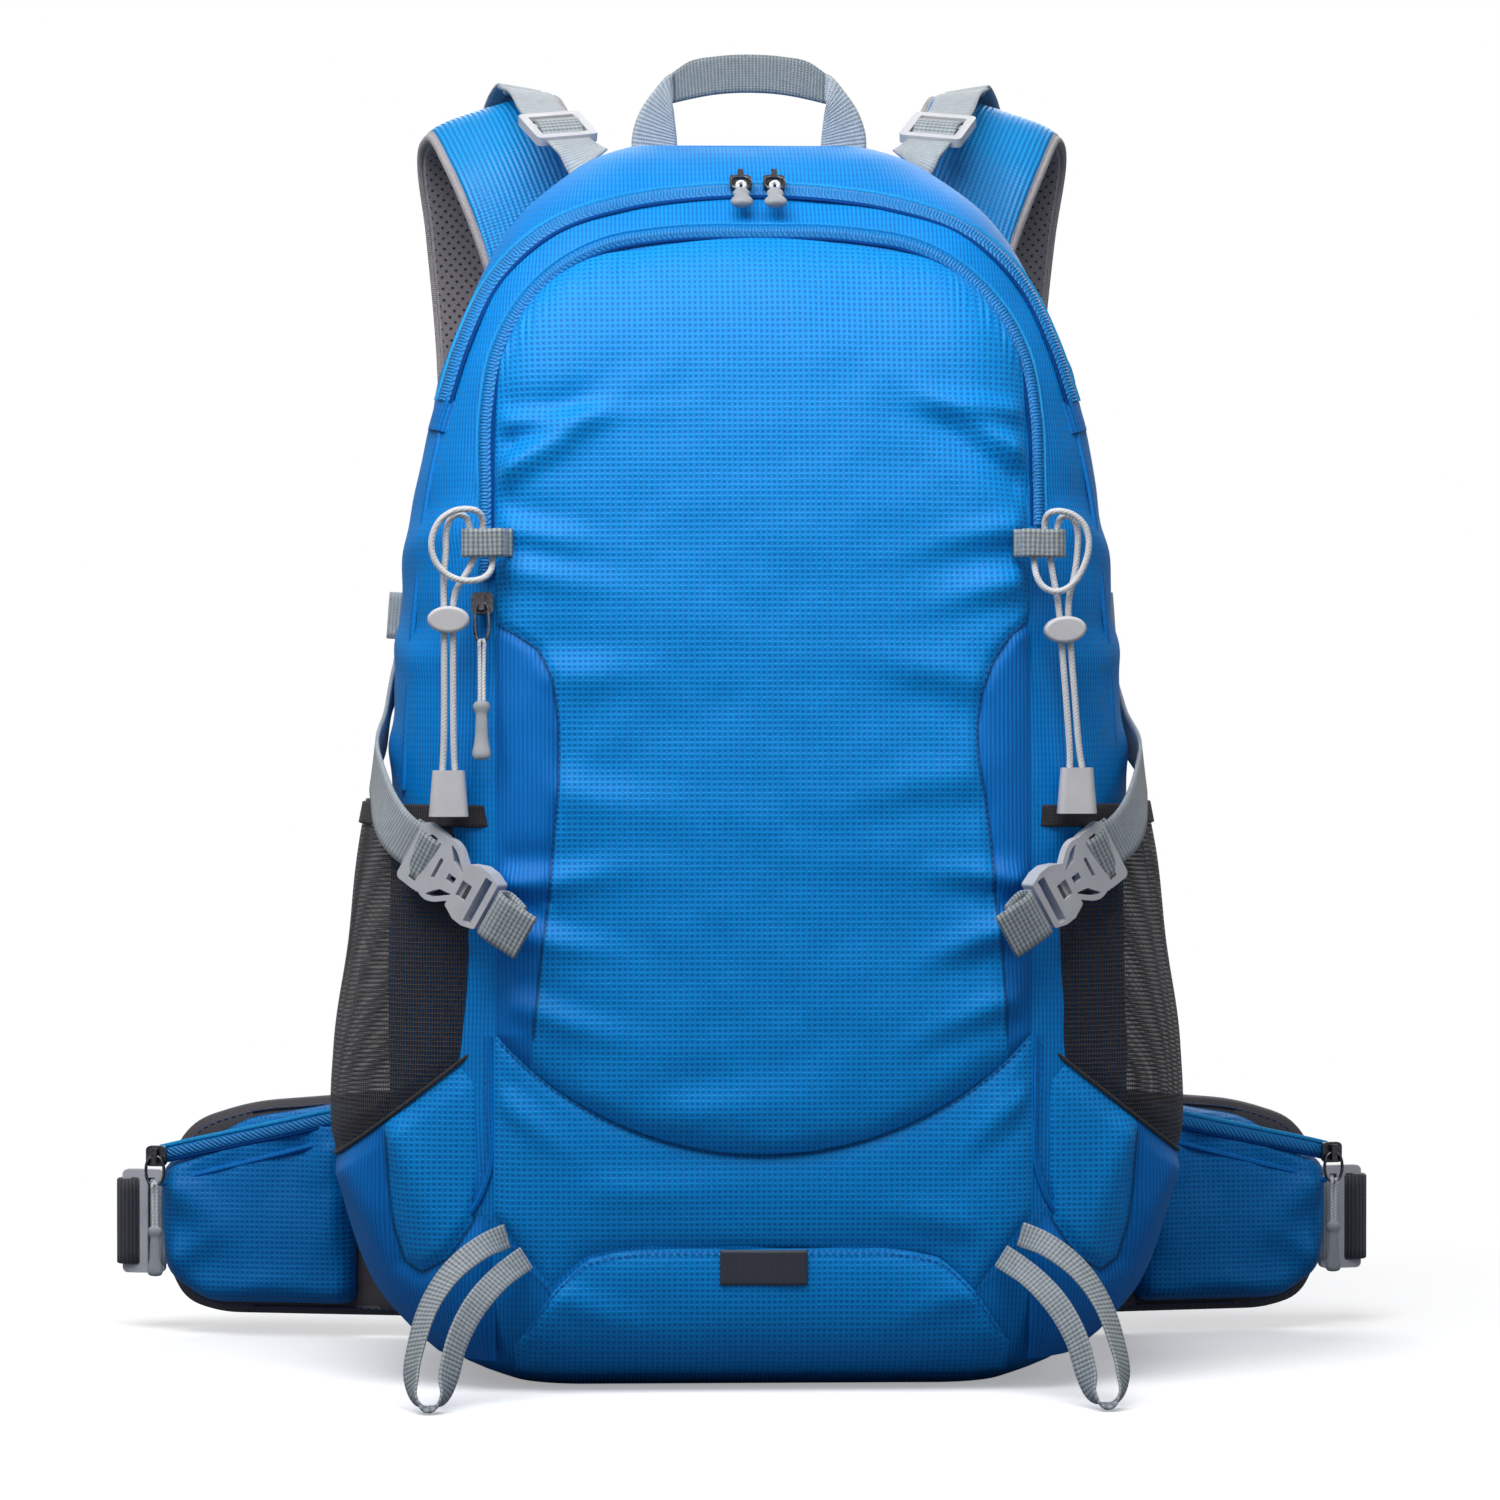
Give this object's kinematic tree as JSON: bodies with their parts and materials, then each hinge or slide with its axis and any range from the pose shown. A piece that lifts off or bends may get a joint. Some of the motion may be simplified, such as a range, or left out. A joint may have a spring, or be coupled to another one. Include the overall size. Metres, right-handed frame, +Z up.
{
  "type": "hiking daypack",
  "caption": "Zipped hiking daypack with shoulder straps, padded hipbelt wings, stretch side pockets, compression buckles, bungees and gear loops.",
  "frame": {"origin": "middle of the overall footprint, on the floor under the bag's base", "axes": "+Z up the back panel, -Y towards the bag's front, +X towards the wearer's right"},
  "size_m": [0.558, 0.3436, 0.5616],
  "materials": {
    "pack_cloth": "ripstop nylon",
    "pocket_mesh": "knitted stretch mesh",
    "spacer_mesh": "perforated spacer mesh",
    "light_webbing": "woven",
    "dark_webbing": "woven",
    "acetal": "moulded",
    "zip_coil": "coated tape",
    "gunmetal": "satin",
    "pull_rubber": "moulded",
    "elastic_cord": "braided",
    "label_cloth": "woven",
    "lining": "coated",
    "frame_board": "sheet",
    "stay_alloy": "mill"
  },
  "bodies": {
    "pack": {"main_shell": "pack_cloth", "frame_sheet": "frame_board", "frame_stay": "stay_alloy", "hydration_sleeve": "lining", "rain_cover": "lining", "front_pocket": "pack_cloth", "lower_front_panel": "pack_cloth", "rain_cover_pocket": "pack_cloth", "rain_pocket_label": "label_cloth", "back_pads": "spacer_mesh", "right_pocket_mesh": "pocket_mesh", "left_pocket_mesh": "pocket_mesh", "right_pocket_base": "pack_cloth", "left_pocket_base": "pack_cloth", "webbing_tabs": "light_webbing", "compression_females": "acetal", "right_compression_strap": "light_webbing", "left_compression_strap": "light_webbing", "right_shoulder_strap": "spacer_mesh", "left_shoulder_strap": "spacer_mesh", "harness_webbing": "light_webbing", "ladder_locks": "acetal", "main_zip_track": "zip_coil", "front_zip_track": "zip_coil", "gear_loops": "light_webbing", "left_bungee_cord": "elastic_cord", "right_bungee_cord": "elastic_cord", "bungee_end_caps": "acetal"},
    "grab_handle": {"grab_handle": "light_webbing"},
    "main_slider_right": {"main_zip_slider_right": "gunmetal"},
    "main_slider_left": {"main_zip_slider_left": "gunmetal"},
    "main_pull_right": {"main_zip_pull_right": "pull_rubber"},
    "main_pull_left": {"main_zip_pull_left": "pull_rubber"},
    "front_slider": {"front_zip_slider": "gunmetal"},
    "front_pull": {"front_zip_pull": "pull_rubber"},
    "right_wing": {"right_hipbelt_wing": "spacer_mesh", "right_hipbelt_pouch": "pack_cloth", "right_hip_adjuster": "acetal", "right_hip_webbing": "dark_webbing", "hip_buckle_male": "acetal"},
    "left_wing": {"left_hipbelt_wing": "spacer_mesh", "left_hipbelt_pouch": "pack_cloth", "left_hip_adjuster": "acetal", "left_hip_webbing": "dark_webbing", "hip_buckle_female": "acetal"},
    "right_hip_slider": {"right_hip_zip_slider": "gunmetal"},
    "left_hip_slider": {"left_hip_zip_slider": "gunmetal"},
    "right_hip_pull": {"right_hip_zip_pull": "pull_rubber"},
    "left_hip_pull": {"left_hip_zip_pull": "pull_rubber"},
    "right_buckle": {"right_compression_male": "acetal"},
    "left_buckle": {"left_compression_male": "acetal"},
    "sternum_strap": {"sternum_clips": "acetal", "sternum_female": "acetal", "sternum_webbing_right": "light_webbing", "sternum_webbing_left": "light_webbing"},
    "sternum_buckle": {"sternum_male": "acetal"},
    "left_toggle": {"left_toggle": "acetal"},
    "right_toggle": {"right_toggle": "acetal"}
  },
  "joints": [
    {"name": "handle_flop", "type": "hinge", "parent": "pack", "child": "grab_handle", "pos_m": [0, 0.04772, 0.5189], "axis": [1, 0, 0], "range_deg": [-45, 80], "stiffness_Nm_per_rad": 0.02},
    {"name": "main_zip_right", "type": "slide", "parent": "pack", "child": "main_slider_right", "axis": [1, 0, 0], "range_m": [0, 0.034]},
    {"name": "main_zip_left", "type": "slide", "parent": "pack", "child": "main_slider_left", "axis": [-1, 0, 0], "range_m": [0, 0.034]},
    {"name": "main_pull_right_swing", "type": "hinge", "parent": "main_slider_right", "child": "main_pull_right", "pos_m": [0.007, -0.04796, 0.49961], "axis": [-1, 0, 0], "range_deg": [0, 110]},
    {"name": "main_pull_left_swing", "type": "hinge", "parent": "main_slider_left", "child": "main_pull_left", "pos_m": [-0.007, -0.04796, 0.49961], "axis": [-1, 0, 0], "range_deg": [0, 110]},
    {"name": "front_zip", "type": "slide", "parent": "pack", "child": "front_slider", "axis": [0, 0.2048, 0.9788], "range_m": [0, 0.074]},
    {"name": "front_pull_swing", "type": "hinge", "parent": "front_slider", "child": "front_pull", "pos_m": [-0.11404, -0.11285, 0.32178], "axis": [-0.9987, 0.0499, -0.0104], "range_deg": [0, 80]},
    {"name": "right_wing_swing", "type": "hinge", "parent": "pack", "child": "right_wing", "pos_m": [0.121, 0.07572, 0.0605], "axis": [0, 0, 1], "range_deg": [0, 75]},
    {"name": "left_wing_swing", "type": "hinge", "parent": "pack", "child": "left_wing", "pos_m": [-0.121, 0.07572, 0.0605], "axis": [0, 0, -1], "range_deg": [0, 75]},
    {"name": "right_hip_zip", "type": "slide", "parent": "right_wing", "child": "right_hip_slider", "axis": [-0.9569, -0.1947, 0.2156], "range_m": [0, 0.068]},
    {"name": "left_hip_zip", "type": "slide", "parent": "left_wing", "child": "left_hip_slider", "axis": [0.9569, -0.1947, 0.2156], "range_m": [0, 0.068]},
    {"name": "right_hip_pull_swing", "type": "hinge", "parent": "right_hip_slider", "child": "right_hip_pull", "pos_m": [0.26027, 0.07834, 0.08], "axis": [-0.9799, -0.1994, 0], "range_deg": [0, 90]},
    {"name": "left_hip_pull_swing", "type": "hinge", "parent": "left_hip_slider", "child": "left_hip_pull", "pos_m": [-0.26027, 0.07834, 0.08], "axis": [-0.9799, 0.1994, 0], "range_deg": [0, 90]},
    {"name": "right_buckle_release", "type": "slide", "parent": "pack", "child": "right_buckle", "axis": [0.7287, 0.4237, 0.538], "range_m": [0, 0.02], "deforming": ["right_compression_strap"]},
    {"name": "left_buckle_release", "type": "slide", "parent": "pack", "child": "left_buckle", "axis": [-0.7287, 0.4237, 0.538], "range_m": [0, 0.02], "deforming": ["left_compression_strap"]},
    {"name": "sternum_height", "type": "slide", "parent": "pack", "child": "sternum_strap", "axis": [0, 0, 1], "range_m": [-0.042, 0.038]},
    {"name": "sternum_release", "type": "slide", "parent": "sternum_strap", "child": "sternum_buckle", "axis": [1, 0, 0], "range_m": [0, 0.02], "deforming": ["sternum_webbing_right"]},
    {"name": "left_toggle_slide", "type": "slide", "parent": "pack", "child": "left_toggle", "axis": [0, 0, 1], "range_m": [-0.042, 0.004]},
    {"name": "right_toggle_slide", "type": "slide", "parent": "pack", "child": "right_toggle", "axis": [-0.0802, 0, 0.9968], "range_m": [-0.042, 0.004]}
  ]
}
